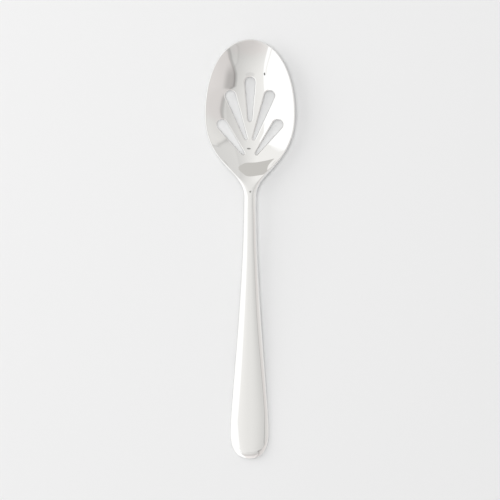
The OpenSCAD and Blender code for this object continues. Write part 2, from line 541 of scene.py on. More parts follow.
@dataclass(frozen=True)
class GridSteps:
    """Steps of the grid: along the four stretches of the outline, over the flat part and round a side."""

    tip: int = 64
    blend: int = 84
    shaft: int = 120
    tail: int = 44
    flat: int = 56
    side: int = 24


@dataclass(frozen=True)
class Rows:
    """Places along the spoon where a cross-section is taken, from the tip to the end of the handle."""

    y: np.ndarray
    half_w: np.ndarray
    fullness: np.ndarray
    widening: np.ndarray

    @classmethod
    def along(cls, form: SpoonForm, steps: GridSteps) -> "Rows":
        """Rows along all four stretches of the outline.

        Args:
            form: shape of the spoon.
            steps: steps of the grid.

        Returns:
            The rows, with the tip and the end closed to a small share of the full width.
        """
        s = form.sizes
        front = [values[::-1] for values in form.tip.rows(steps.tip)]
        rest = (form.blend.rows(steps.blend), form.shaft.rows(steps.shaft), form.tail.rows(steps.tail))
        y, half_w, widening = (np.concatenate([front[k], *(part[k][1:] for part in rest)]) for k in range(3))
        fullness = np.where(y < form.tail_y, 2.0 * half_w / s.handle_w, 1.0)
        full_half = np.where(y > s.crest_y, s.bowl_w, s.handle_w) / 2.0
        return cls(y, np.maximum(half_w, full_half * s.close_share), fullness, widening)


@dataclass(frozen=True)
class Marks:
    """Places round a cross-section, from the right edge over the upper face and back underneath."""

    across: np.ndarray
    turn: np.ndarray
    face: np.ndarray

    @classmethod
    def around(cls, steps: GridSteps) -> "Marks":
        """Marks with even steps over the flat part and even angles round each side.

        Args:
            steps: steps of the grid.

        Returns:
            The marks: a share across the flat part, an angle round the side, and the face of the metal.
        """
        angle = np.linspace(math.pi / 2.0, 0.0, steps.side + 1)
        flat = np.linspace(1.0, -1.0, steps.flat + 1)
        across = np.concatenate([np.ones(steps.side), flat, -np.ones(steps.side)])
        turn = np.concatenate([angle[:-1], np.zeros(steps.flat + 1), angle[::-1][1:]])
        upper = len(across)
        return cls(
            np.concatenate([across, across[-2:0:-1]]),
            np.concatenate([turn, turn[-2:0:-1]]),
            np.concatenate([np.full(upper, Face.UPPER.value), np.full(upper - 2, Face.LOWER.value)]),
        )


@dataclass(frozen=True)
class Teardrop:
    """One slot in plan: a narrow round root, a wide round end, and straight sides that touch both."""

    root_x: float
    root_y: float
    lean: float
    run: float
    root_r: float
    end_r: float

    @property
    def heading(self) -> np.ndarray:
        """Direction from the root to the wide end."""
        return np.array([math.sin(self.lean), math.cos(self.lean)])

    def outline(self, grow: np.ndarray, end_steps: int, side_steps: int, root_steps: int) -> np.ndarray:
        """Points round the outline, grown outwards by an even distance.

        A point is the centre of a circle between the two ends plus its radius along the outward normal, which
        turns round each end and stands still along each side.

        Args:
            grow: how far each ring of points stands outside the outline.
            end_steps: steps round the wide end.
            side_steps: steps along a side.
            root_steps: steps round the narrow end.

        Returns:
            The points in plan, with rings first, places round the outline next and x, y last.
        """
        side_turn = math.pi / 2.0 + math.asin((self.end_r - self.root_r) / self.run)
        turn = np.concatenate([
            np.linspace(-side_turn, side_turn, end_steps, endpoint=False),
            np.full(side_steps, side_turn),
            np.linspace(side_turn, 2.0 * math.pi - side_turn, root_steps, endpoint=False),
            np.full(side_steps, 2.0 * math.pi - side_turn),
        ])
        share = np.concatenate([
            np.ones(end_steps),
            np.linspace(1.0, 0.0, side_steps, endpoint=False),
            np.zeros(root_steps),
            np.linspace(0.0, 1.0, side_steps, endpoint=False),
        ])
        ahead = self.heading
        aside = np.array([-ahead[1], ahead[0]])
        normal = np.cos(turn)[:, None] * ahead + np.sin(turn)[:, None] * aside
        centre = np.array([self.root_x, self.root_y]) + self.run * share[:, None] * ahead
        radius = self.root_r + (self.end_r - self.root_r) * share
        return centre + (radius[None, :, None] + grow[:, None, None]) * normal

    def distance(self, points: np.ndarray) -> np.ndarray:
        """Distance of places in plan from the outline, less than zero inside it.

        Args:
            points: places, with x, y last.

        Returns:
            The distance from the nearer end's circle, or from the straight side between the two.
        """
        offset = points - np.array([self.root_x, self.root_y])
        along = offset @ self.heading
        aside = np.abs(offset @ np.array([-self.heading[1], self.heading[0]]))
        sine = (self.end_r - self.root_r) / self.run
        cosine = math.sqrt(1.0 - sine * sine)
        travel = along * cosine + aside * sine
        from_root = np.hypot(along, aside) - self.root_r
        from_end = np.hypot(along - self.run, aside) - self.end_r
        from_side = aside * cosine - along * sine - self.root_r
        return np.where(travel < 0.0, from_root, np.where(travel > self.run * cosine, from_end, from_side))


@dataclass(frozen=True)
class SlotFan:
    """The fan of five teardrop slots, with a middle slot and two pairs that lean out."""

    end_r: float = 0.0029
    middle_root_r: float = 0.0011
    middle_root_at: float = 0.0455
    middle_run: float = 0.0213
    side_root_r: float = 0.0007
    inner_root_at: float = 0.0564
    inner_root_off: float = 0.0023
    inner_run: float = 0.026
    inner_lean: float = math.radians(20.0)
    outer_root_at: float = 0.0649
    outer_root_off: float = 0.0039
    outer_run: float = 0.0203
    outer_lean: float = math.radians(36.2)
    upper_edge_r: float = 0.0008
    lower_edge_r: float = 0.00035

    def slots(self, tip_y: float) -> list[Teardrop]:
        """The five slots.

        Args:
            tip_y: place of the tip of the bowl.

        Returns:
            The slots, the middle one first.
        """
        pairs = (
            (self.inner_root_off, self.inner_root_at, self.inner_lean, self.inner_run),
            (self.outer_root_off, self.outer_root_at, self.outer_lean, self.outer_run),
        )
        middle_root_y = tip_y - self.middle_root_at
        middle = Teardrop(0.0, middle_root_y, 0.0, self.middle_run, self.middle_root_r, self.end_r)
        return [middle] + [
            Teardrop(hand * off, tip_y - at, hand * lean, run, self.side_root_r, self.end_r)
            for hand in (1.0, -1.0) for off, at, lean, run in pairs
        ]


@dataclass
class Skin:
    """Points with their normals, and the faces that join them, gathered block by block."""

    points: list[np.ndarray] = field(default_factory=list)
    normals: list[np.ndarray] = field(default_factory=list)
    faces: list[np.ndarray] = field(default_factory=list)
    caps: list[tuple[np.ndarray, np.ndarray]] = field(default_factory=list)
    count: int = 0

    def add(self, points: np.ndarray, normals: np.ndarray) -> np.ndarray:
        """Adds a block of points.

        Args:
            points: points of any grid shape, with x, y, z last.
            normals: their normals.

        Returns:
            The numbers that faces use for them, in the same grid shape.
        """
        shape = points.shape[:-1]
        numbers = self.count + np.arange(int(np.prod(shape))).reshape(shape)
        self.points.append(points.reshape(-1, 3))
        self.normals.append(normals.reshape(-1, 3))
        self.count += numbers.size
        return numbers

    def quads(self, numbers: np.ndarray, closed: bool, keep: np.ndarray | None = None) -> None:
        """Joins a grid of points with four-sided faces that wind from each row to the next.

        Args:
            numbers: numbers of the points, rows first.
            closed: whether the last column joins the first.
            keep: which faces to make, or all.
        """
        beside = np.roll(numbers, -1, axis=1)
        here, there = (numbers, beside) if closed else (numbers[:, :-1], beside[:, :-1])
        made = np.stack([here[:-1], there[:-1], there[1:], here[1:]], axis=-1)
        self.faces.append(made[keep] if keep is not None else made.reshape(-1, 4))

    def cap(self, ring: np.ndarray, normal: tuple[float, float, float]) -> None:
        """Closes a ring of points, numbered as its flat face winds when it looks along the normal."""
        self.caps.append((ring, np.array(normal)))

    def mesh(self, name: str) -> bpy.types.Mesh:
        """Blender mesh of what was gathered, without the points that no face uses.

        Args:
            name: name of the mesh.

        Returns:
            The mesh, smooth, with the gathered normals on its corners.
        """
        points, normals = np.concatenate(self.points), np.concatenate(self.normals)
        corners = np.concatenate([f.ravel() for f in self.faces] + [ring for ring, _ in self.caps])
        sizes = np.concatenate([np.full(len(f), f.shape[1]) for f in self.faces]
                               + [np.array([len(ring)]) for ring, _ in self.caps])
        corner_normals = np.concatenate([normals[f.ravel()] for f in self.faces]
                                        + [np.tile(normal, (len(ring), 1)) for ring, normal in self.caps])
        used, corners = np.unique(corners, return_inverse=True)
        mesh = bpy.data.meshes.new(name)
        mesh.vertices.add(len(used))
        mesh.vertices.foreach_set("co", points[used].astype(np.float32).ravel())
        mesh.loops.add(len(corners))
        mesh.loops.foreach_set("vertex_index", corners.astype(np.int32).ravel())
        mesh.polygons.add(len(sizes))
        starts = np.concatenate([[0], np.cumsum(sizes)[:-1]])
        mesh.polygons.foreach_set("loop_start", starts.astype(np.int32))
        mesh.polygons.foreach_set("use_smooth", np.ones(len(sizes), dtype=bool))
        mesh.update(calc_edges=True)
        mesh.normals_split_custom_set(corner_normals.tolist())
        return mesh


class SpoonSurface:
    """The grid of points over the whole spoon, with their normals."""

    def __init__(self, form: SpoonForm, steps: GridSteps) -> None:
        """Works out the grid. A normal is the cross product of the tangents round and along the spoon.

        Args:
            form: shape of the spoon.
            steps: steps of the grid.
        """
        self.form = form
        self.rows = Rows.along(form, steps)
        self.marks = Marks.around(steps)
        self.crest_row = steps.tip + steps.blend
        self.points = form.sections(self.rows, self.marks)
        around = smooth_tangent(self.points, axis=1, closed=True)
        down = smooth_tangent(self.points, axis=0, closed=False)
        self.normals = unit(np.cross(around, down))


@dataclass(frozen=True)
class SpoonPiece:
    """What the bowl and the handle share: the surface that they come from, their names and their dress."""

    surface: SpoonSurface
    name: str
    node: str

    def skin(self) -> Skin:
        """Points and faces of the piece, which each kind of piece gives in its own way."""
        raise NotImplementedError

    def build(self, steel: bpy.types.Material) -> bpy.types.Object:
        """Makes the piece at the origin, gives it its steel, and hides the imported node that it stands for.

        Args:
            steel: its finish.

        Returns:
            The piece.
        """
        piece = bpy.data.objects.new(self.name, self.skin().mesh(self.name))
        bpy.context.scene.collection.objects.link(piece)
        piece.data.materials.append(steel)
        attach(piece, BODY)
        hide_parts(self.node)
        return piece

    def _close(self, skin: Skin, numbers: np.ndarray) -> None:
        """Closes the first and the last ring of a grid with flat faces that look along the spoon."""
        skin.cap(numbers[0][::-1], (0.0, 1.0, 0.0))
        skin.cap(numbers[-1], (0.0, -1.0, 0.0))


@dataclass(frozen=True)
class Bowl(SpoonPiece):
    """The drawn bowl with its fan of slots, from the tip to the crest of the neck."""

    name: str = "bowl_dressed"
    node: str = "bowl"
    fan: SlotFan = SlotFan()
    pierced_from: float = 0.0170
    pierced_to: float = 0.0695
    pierced_share: float = 0.9
    clear: float = 0.00045
    outline_steps: tuple[int, int, int] = (56, 64, 18)
    round_steps: int = 7
    wall_steps: int = 2

    @property
    def slots(self) -> list[Teardrop]:
        """The slots of the fan, placed from the tip."""
        return self.fan.slots(self.surface.form.sizes.tip_y)

    def skin(self) -> Skin:
        """Gathers the points and faces of the bowl.

        Returns:
            The skin: rim, tip and heel from the grid, and the rest from patches and slot walls.
        """
        surface, marks, skin = self.surface, self.surface.marks, Skin()
        last = surface.crest_row
        points = surface.points[: last + 1]
        numbers = skin.add(points, surface.normals[: last + 1])
        from_tip = surface.form.sizes.tip_y - surface.rows.y[: last + 1]
        pierced = (from_tip > self.pierced_from) & (from_tip < self.pierced_to)
        first_row, last_row = np.flatnonzero(pierced)[[0, -1]]
        inside = (np.abs(marks.across) < self.pierced_share) & (marks.turn == 0.0)
        keep = np.ones((last, len(marks.across)), dtype=bool)
        walls = [self._wall(slot, skin) for slot in self.slots]
        for face in Face:
            columns = np.flatnonzero(inside & (marks.face == face.value))
            keep[first_row:last_row, columns[0]: columns[-1]] = False
            window = (slice(first_row, last_row + 1), slice(columns[0], columns[-1] + 1))
            rings = [wall[0 if face is Face.UPPER else -1] for wall in walls]
            self._patch(skin, numbers[window], points[window], rings, face)
        skin.quads(numbers, closed=True, keep=keep)
        self._close(skin, numbers)
        return skin

    def _wall(self, slot: Teardrop, skin: Skin) -> np.ndarray:
        """Adds the wall of one slot, with its rounded edges.

        The wall is upright. Each edge is a quarter turn: its sine brings it in to the outline, and 1 less its
        cosine takes it down from the face of the metal.

        Args:
            slot: the slot.
            skin: what the wall is added to.

        Returns:
            The numbers of the wall's points, from the ring in the upper face to the ring in the lower one.
        """
        form, fan = self.surface.form, self.fan
        turn = np.linspace(0.0, math.pi / 2.0, self.round_steps + 1)
        edges = []
        for face, radius in ((Face.UPPER, fan.upper_edge_r), (Face.LOWER, fan.lower_edge_r)):
            plan = slot.outline(radius * (1.0 - np.sin(turn)), *self.outline_steps)
            height = form.surface(plan[..., 0], plan[..., 1], face)
            height = height - face.value * radius * (1.0 - np.cos(turn))[:, None]
            edges.append(np.concatenate([plan, height[..., None]], axis=-1))
        upper, lower = edges[0], edges[1][::-1]
        share = np.linspace(0.0, 1.0, self.wall_steps + 2)[1:-1, None, None]
        middle = upper[-1] + (lower[0] - upper[-1]) * share
        points = np.concatenate([upper, middle, lower])
        normals = unit(np.cross(smooth_tangent(points, 1, True), smooth_tangent(points, 0, False)))
        for row, face in ((0, Face.UPPER), (-1, Face.LOWER)):
            normals[row] = form.surface_normal(points[row, :, 0], points[row, :, 1], face)
        numbers = skin.add(points, normals)
        skin.quads(numbers, closed=True)
        return numbers

    def _patch(self, skin: Skin, numbers: np.ndarray, points: np.ndarray, rings: list[np.ndarray],
               face: Face) -> None:
        """Adds the pierced part of one face: a Delaunay mesh between the window's edge and the slots' rings.

        Args:
            skin: what the patch is added to.
            numbers: numbers of the grid's points in the window.
            points: those points.
            rings: numbers of the ring of points round each slot.
            face: which face of the metal.
        """
        made = np.concatenate(skin.points)
        edge = np.concatenate([numbers[0, :-1], numbers[:-1, -1], numbers[-1, :0:-1], numbers[:0:-1, 0]])
        if face is Face.LOWER:
            edge = edge[::-1]
        grow = self.fan.upper_edge_r if face is Face.UPPER else self.fan.lower_edge_r
        inner = points[1:-1, 1:-1].reshape(-1, 3)[:, :2]
        gap = np.min([slot.distance(inner) for slot in self.slots], axis=0)
        loose = numbers[1:-1, 1:-1].ravel()[gap > grow + self.clear]
        loops = [edge, *rings]
        every = np.concatenate([*loops, loose])
        ends = np.cumsum([len(loop) for loop in loops])
        spans = [list(range(end - len(loop), end)) for loop, end in zip(loops, ends)]
        plan = made[every, :2] * MM_PER_M
        inside_only, epsilon = 1, 1e-7
        _, _, triangles, sources, _, within = delaunay_2d_cdt(plan.tolist(), [], spans, inside_only, epsilon)
        source = np.array([group[0] for group in sources])
        # A triangle is metal where the first loop, the window's edge, is the only one round it.
        solid = np.array([max(around) == 0 for around in within])
        found = every[source[np.array(triangles)[solid]]]
        corner = made[found, :2]
        side, other = corner[:, 1] - corner[:, 0], corner[:, 2] - corner[:, 0]
        turned = (side[:, 0] * other[:, 1] - side[:, 1] * other[:, 0]) * face.value < 0.0
        found[turned] = found[turned][:, ::-1]
        skin.faces.append(found)


@dataclass(frozen=True)
class Handle(SpoonPiece):
    """The forged handle, from the crest of the neck to the plump rounded tail."""

    name: str = "handle_dressed"
    node: str = "handle"

    def skin(self) -> Skin:
        """Gathers the points and faces of the handle.

        Returns:
            The skin: the handle's part of the grid, closed at the crest and at the end.
        """
        surface, skin = self.surface, Skin()
        numbers = skin.add(surface.points[surface.crest_row:], surface.normals[surface.crest_row:])
        skin.quads(numbers, closed=True)
        self._close(skin, numbers)
        return skin


Socket = bpy.types.NodeSocket
Color = tuple[float, float, float]
Span = tuple[float, float]
Stops = tuple[tuple[float, float], ...]
BLACK = (0.0, 0.0, 0.0)
WHITE = (1.0, 1.0, 1.0)


class Graph:
    """Short calls that add nodes to one tree and join them."""

    def __init__(self, tree: bpy.types.NodeTree) -> None:
        """Keeps the node tree to add to."""
        self.tree = tree

    def node(self, kind: str, **settings: object) -> bpy.types.Node:
        """Adds a node.

        Args:
            kind: type of the node.
            settings: its own settings by name.

        Returns:
            The node.
        """
        made = self.tree.nodes.new(kind)
        for name, value in settings.items():
            setattr(made, name, value)
        return made

    def feed(self, target: Socket, value: "Socket | float | tuple[float, ...]") -> None:
        """Joins a socket to a target, or sets the target to a plain value.

        Args:
            target: socket that takes the value.
            value: the socket to join, or the plain value.
        """
        if isinstance(value, bpy.types.NodeSocket):
            self.tree.links.new(value, target)
        else:
            target.default_value = value

    def math(self, operation: str, *values: "Socket | float", clamp: bool = False) -> Socket:
        """Adds a Math node.

        Args:
            operation: what it works out.
            values: what goes into it, in order.
            clamp: whether the result is kept between 0 and 1.

        Returns:
            Its output.
        """
        made = self.node("ShaderNodeMath", operation=operation, use_clamp=clamp)
        for target, value in zip(made.inputs, values):
            self.feed(target, value)
        return made.outputs[0]

    def step(self, value: Socket, start: float, stop: float, low: float = 0.0, high: float = 1.0,
             smooth: bool = True) -> Socket:
        """Change from low at start to high at stop, level outside the two.

        Args:
            value: what is compared.
            start: value at which the change begins.
            stop: value at which it ends.
            low: result before the change.
            high: result after it.
            smooth: whether the change eases in and out.

        Returns:
            The result.
        """
        made = self.node("ShaderNodeMapRange", interpolation_type="SMOOTHSTEP" if smooth else "LINEAR")
        for target, given in zip(made.inputs, (value, start, stop, low, high)):
            self.feed(target, given)
        return made.outputs[0]

    def product(self, *values: "Socket | float") -> Socket:
        """Product of all the values."""
        return reduce(lambda total, value: self.math("MULTIPLY", total, value), values)

    def noise(self, place: Socket, scale: "Socket | float", detail: float) -> Socket:
        """Adds a Noise Texture node.

        Args:
            place: where it is read.
            scale: how often its clouds come.
            detail: how many finer layers it has.

        Returns:
            Its value, about one half on average.
        """
        made = self.node("ShaderNodeTexNoise")
        for name, given in (("Vector", place), ("Scale", scale), ("Detail", detail)):
            self.feed(made.inputs[name], given)
        return made.outputs[0]

    def curve(self, value: Socket, stops: Stops) -> Socket:
        """Chain of straight pieces through the stops, level outside them.

        Args:
            value: where the chain is read.
            stops: places with the result at each, in rising order.

        Returns:
            The result.
        """
        places, levels = np.array(stops).T
        start, run = places[0], np.ptp(places)
        low, rise = levels.min(), np.ptp(levels)
        ramp = self.node("ShaderNodeValToRGB")
        elements = ramp.color_ramp.elements
        for place in (places[1:-1] - start) / run:
            elements.new(place)
        for element, share in zip(elements, (levels - low) / rise):
            element.color = (share, share, share, 1.0)
        self.feed(ramp.inputs[0], self.step(value, start, start + run, smooth=False))
        split = self.node("ShaderNodeSeparateColor")
        self.feed(split.inputs[0], ramp.outputs[0])
        return self.math("MULTIPLY_ADD", split.outputs[0], rise, low)

    def blend(self, share: "Socket | float", first: "Socket | float", second: "Socket | float") -> Socket:
        """Mix of two numbers.

        Args:
            share: share of the second number.
            first: number where the share is 0.
            second: number where the share is 1.

        Returns:
            The mix.
        """
        made = self.node("ShaderNodeMix", data_type="FLOAT")
        for target, given in zip(made.inputs, (share, None, first, second)):
            if given is not None:
                self.feed(target, given)
        return made.outputs[0]

    def tint(self, share: "Socket | float", first: "Socket | Color", second: "Socket | Color") -> Socket:
        """Mix of two colours.

        Args:
            share: share of the second colour.
            first: colour where the share is 0.
            second: colour where the share is 1.

        Returns:
            The mix.
        """
        made = self.node("ShaderNodeMix", data_type="RGBA", clamp_result=False)
        self.feed(made.inputs[0], share)
        for target, given in zip(made.inputs[6:8], (first, second)):
            self.feed(target, (*given, 1.0) if isinstance(given, tuple) else given)
        return made.outputs[2]


@dataclass(frozen=True)
class Spot:
    """A small dark spot on the map of the room: its place, its half-sizes and the level that it leaves."""

    u: float
    v: float
    half_u: float
    half_v: float
    level: float


class Room:
    """What the steel reflects: the levels of a room, on a map of the sky with straight up in the middle.

    The window fills the left of the map. One long dark edge, the side of a cupboard low down and the corner
    of a wall higher up, parts the brighter middle from the right side. A screen stands towards the tip.
    Stops give a place on the map and the level or the other place there. A span gives the place where a
    share is 0 and then the place where it is 1, and a change is the part of the level that a full share adds.
    """

    ACROSS: Stops = (
        (-0.5, 1.05), (-0.2, 1.02), (-0.13, 0.98), (-0.06, 0.94), (0.0, 0.905), (0.09, 0.85), (0.17, 0.80),
        (0.23, 0.77), (0.31, 0.745), (0.45, 0.73), (1.0, 0.68),
    )
    BEHIND: Stops = (
        (-0.7, 1.1), (-0.5, 1.06), (-0.40, 1.0), (-0.35, 0.92), (-0.32, 0.77), (-0.28, 0.78), (-0.25, 0.81),
        (-0.18, 0.92), (-0.12, 1.0),
    )
    BEHIND_LEAN = -0.2
    EDGE: Stops = (
        (-0.30, 0.27), (-0.224, 0.238), (-0.206, 0.237), (-0.172, 0.204), (-0.143, 0.179), (-0.119, 0.179),
        (-0.103, 0.19), (-0.098, 0.25), (-0.085, 0.33), (-0.07, 0.365), (-0.05, 0.345), (-0.03, 0.305),
        (-0.01, 0.295), (0.03, 0.345), (0.072, 0.40), (0.176, 0.53), (0.268, 0.61), (0.34, 0.74),
        (0.60, 0.95),
    )
    CRISP: Span = (-0.004, 0.004)
    PAST_EDGE: Stops = ((0.0, 0.70), (0.03, 0.72), (0.06, 0.755), (0.15, 0.76), (0.23, 0.785), (0.5, 0.86))
    PAST_RISE: Stops = ((-0.10, 1.0), (-0.05, 1.01), (-0.02, 1.04), (0.05, 1.10), (0.12, 1.14))
    NEAR_EDGE: Span = (-0.3, 0.0)
    NEAR_TOP: Span = (0.15, 0.05)
    NEAR_FOOT: Span = (-0.20, -0.14)
    NEAR_CHANGE = -0.05
    LEDGE: Stops = ((-0.30, 0.112), (-0.259, 0.127), (-0.194, 0.151), (-0.173, 0.19), (-0.15, 0.30))
    LEDGE_CHANGE = 0.07
    LIP: Span = (0.016, 0.006)
    LIP_TOP: Span = (-0.16, -0.18)
    LIP_CHANGE = -0.07
    HOLLOW_LEAN = -0.68
    HOLLOW_SIDE: Span = (0.44, 0.345)
    HOLLOW_FOOT: Span = (-0.20, -0.13)
    HOLLOW_TOP: Span = (-0.096, -0.102)
    HOLLOW_CHANGE = -0.31
    SHADE_REACH: Span = (0.05, 0.0)
    SHADE_FOOT: Span = (0.03, 0.09)
    SHADE_CHANGE = -0.17
    LINE: Span = (0.034, 0.010)
    LINE_RISE: Span = (0.03, 0.10)
    LINE_CHANGES: Span = (-0.24, -0.06)
    SPOTS = (Spot(0.02, 0.09, 0.034, 0.021, 0.38), Spot(0.0, -0.14, 0.05, 0.009, 0.90))
    SPOT_RIM: Span = (0.6, 1.6)
    CATCH = Spot(-0.180, -0.1415, 0.009, 0.005, 0.08)
    BORDER: Stops = (
        (-0.5, -0.12), (-0.36, -0.14), (-0.30, -0.18), (-0.24, -0.195), (-0.19, -0.175), (-0.15, -0.166),
        (-0.11, -0.168), (-0.07, -0.19), (-0.045, -0.20), (-0.02, -0.17), (0.0, -0.155), (0.04, -0.27),
        (0.11, -0.385), (0.2, -0.48), (0.3, -0.57), (0.4, -0.66), (0.5, -0.85), (0.7, -1.2),
    )
    BORDER_BLUR: Stops = ((-0.1, 0.008), (0.0, 0.012), (0.1, 0.02), (0.3, 0.08))
    BAR: Stops = ((-0.26, -0.255), (-0.21, -0.232), (-0.16, -0.20))
    BAR_WIDTH: Span = (0.012, 0.004)
    BAR_TOP: Span = (-0.13, -0.15)
    BAR_FOOT: Span = (-0.29, -0.26)
    BAR_CHANGE = -0.75
    SCREEN_FOOT: Stops = (
        (-0.9, 0.9), (-0.66, 0.64), (-0.58, 0.60), (-0.327, 0.575), (-0.1, 0.570), (0.033, 0.568),
        (0.12, 0.582), (0.2, 0.622), (0.333, 0.685), (0.4, 0.9),
    )
    SCREEN_RIM: Span = (-0.006, 0.006)
    SCREEN_LEAN = -1.2
    SCREEN_SIDE: Span = (1.37, 1.33)
    WARM: Color = (1.012, 1.0, 0.983)
    SIDE_WARM: Color = (1.014, 1.0, 0.978)
    LOW_WARM: Color = (1.032, 0.988, 0.972)
    LOW_MIDDLE: Span = (-0.21, -0.27)
    LOW_SIDE: Span = (-0.01, -0.06)
    LOW_REACH: Span = (0.75, 0.55)
    GLASS: Color = (1.2, 1.2, 1.2)
    SCREEN: Color = (0.65, 0.635, 0.612)

    def __init__(self, graph: Graph, u: Socket, v: Socket) -> None:
        """Keeps the tree and the place on the map, and works out how far past the long edge it lies.

        Args:
            graph: tree of the world.
            u: place on the map, to the right.
            v: place on the map, towards the tip.
        """
        self.graph = graph
        self.u = u
        self.v = v
        self.past = graph.math("SUBTRACT", u, graph.curve(v, self.EDGE))

    def color(self) -> Socket:
        """Works out the colour in each direction.

        Returns:
            The colour: the level of a wall times a warm white, or the screen's, or the window's.
        """
        graph, u, v = self.graph, self.u, self.v
        warm = graph.tint(graph.step(v, *self.LOW_MIDDLE), self.WARM, self.LOW_WARM)
        middle = graph.tint(self._middle(), BLACK, warm)
        low_side = graph.product(graph.step(v, *self.LOW_SIDE), graph.step(u, *self.LOW_REACH))
        side = graph.tint(self._side(), BLACK, graph.tint(low_side, self.SIDE_WARM, self.LOW_WARM))
        walls = graph.tint(graph.step(self.past, *self.CRISP), middle, side)
        walls = graph.tint(self._marks(), BLACK, walls)
        screened = graph.tint(self._screen(), walls, self.SCREEN)
        lit = graph.tint(self._window(), screened, self.GLASS)
        return graph.tint(self._spot(self.CATCH), BLACK, lit)

    def _near(self, value: Socket, line: "Socket | float", width: Span) -> Socket:
        """Share of being close to a line, by the distance from it."""
        graph = self.graph
        return graph.step(graph.math("ABSOLUTE", graph.math("SUBTRACT", value, line)), *width)

    def _shaded(self, level: Socket, change: float, *shares: Socket) -> Socket:
        """Level times 1 plus a change, as far as all the shares allow it."""
        graph = self.graph
        return graph.product(level, graph.math("MULTIPLY_ADD", graph.product(*shares), change, 1.0))

    def _middle(self) -> Socket:
        """Works out the level short of the long edge.

        Returns:
            The level, darker low down and near the edge, and paler past a ledge with a dark lip.
        """
        graph, u, v = self.graph, self.u, self.v
        leaned = graph.math("MULTIPLY_ADD", u, self.BEHIND_LEAN, v)
        level = graph.product(graph.curve(u, self.ACROSS), graph.curve(leaned, self.BEHIND))
        level = self._shaded(level, self.NEAR_CHANGE, graph.step(self.past, *self.NEAR_EDGE),
                             graph.step(v, *self.NEAR_TOP), graph.step(v, *self.NEAR_FOOT))
        ledge = graph.curve(v, self.LEDGE)
        on_ledge = graph.step(graph.math("SUBTRACT", u, ledge), *self.CRISP)
        level = self._shaded(level, self.LEDGE_CHANGE, on_ledge)
        lip = self._near(u, ledge, self.LIP)
        return self._shaded(level, self.LIP_CHANGE, lip, graph.step(v, *self.LIP_TOP))

    def _side(self) -> Socket:
        """Works out the level past the long edge.

        Returns:
            The level, with a dark hollow low down beside the edge and a shade along it higher up.
        """
        graph, u, v = self.graph, self.u, self.v
        level = graph.product(graph.curve(self.past, self.PAST_EDGE), graph.curve(v, self.PAST_RISE))
        leaned = graph.math("MULTIPLY_ADD", v, self.HOLLOW_LEAN, u)
        level = self._shaded(level, self.HOLLOW_CHANGE, graph.step(leaned, *self.HOLLOW_SIDE),
                             graph.step(v, *self.HOLLOW_FOOT), graph.step(v, *self.HOLLOW_TOP))
        return self._shaded(level, self.SHADE_CHANGE, graph.step(self.past, *self.SHADE_REACH),
                            graph.step(v, *self.SHADE_FOOT))

    def _marks(self) -> Socket:
        """Works out the small marks on the walls.

        Returns:
            The factor of a thin line along the long edge, which fades higher up, and of the small spots.
        """
        graph = self.graph
        change = graph.step(self.v, *self.LINE_RISE, *self.LINE_CHANGES)
        line = graph.math("MULTIPLY_ADD", self._near(self.past, 0.0, self.LINE), change, 1.0)
        return graph.product(line, *(self._spot(spot) for spot in self.SPOTS))

    def _spot(self, spot: Spot) -> Socket:
        """Factor of a spot, by the sum of the squares of the two distances over its half-sizes.

        Args:
            spot: the spot.

        Returns:
            The spot's level inside it and 1 outside.
        """
        graph = self.graph
        squares = []
        for value, place, half in ((self.u, spot.u, spot.half_u), (self.v, spot.v, spot.half_v)):
            away = graph.math("DIVIDE", graph.math("SUBTRACT", value, place), half)
            squares.append(graph.product(away, away))
        return graph.step(graph.math("ADD", *squares), *self.SPOT_RIM, spot.level, 1.0)

    def _screen(self) -> Socket:
        """Works out where the screen stands.

        Returns:
            The share of the screen: above its foot and to the right of its leaning left side.
        """
        graph, u, v = self.graph, self.u, self.v
        above = graph.math("SUBTRACT", v, graph.curve(u, self.SCREEN_FOOT))
        leaned = graph.math("MULTIPLY_ADD", u, self.SCREEN_LEAN, v)
        return graph.product(graph.step(above, *self.SCREEN_RIM), graph.step(leaned, *self.SCREEN_SIDE))

    def _window(self) -> Socket:
        """Works out where the window is.

        Returns:
            The share of the window, whose border blurs higher up, with a bar in its frame low down.
        """
        graph, u, v = self.graph, self.u, self.v
        inside = graph.math("SUBTRACT", graph.curve(v, self.BORDER), u)
        glass = graph.step(graph.math("DIVIDE", inside, graph.curve(v, self.BORDER_BLUR)), -1.0, 1.0)
        on_bar = self._near(u, graph.curve(v, self.BAR), self.BAR_WIDTH)
        return self._shaded(glass, self.BAR_CHANGE, on_bar, graph.step(v, *self.BAR_TOP),
                            graph.step(v, *self.BAR_FOOT))


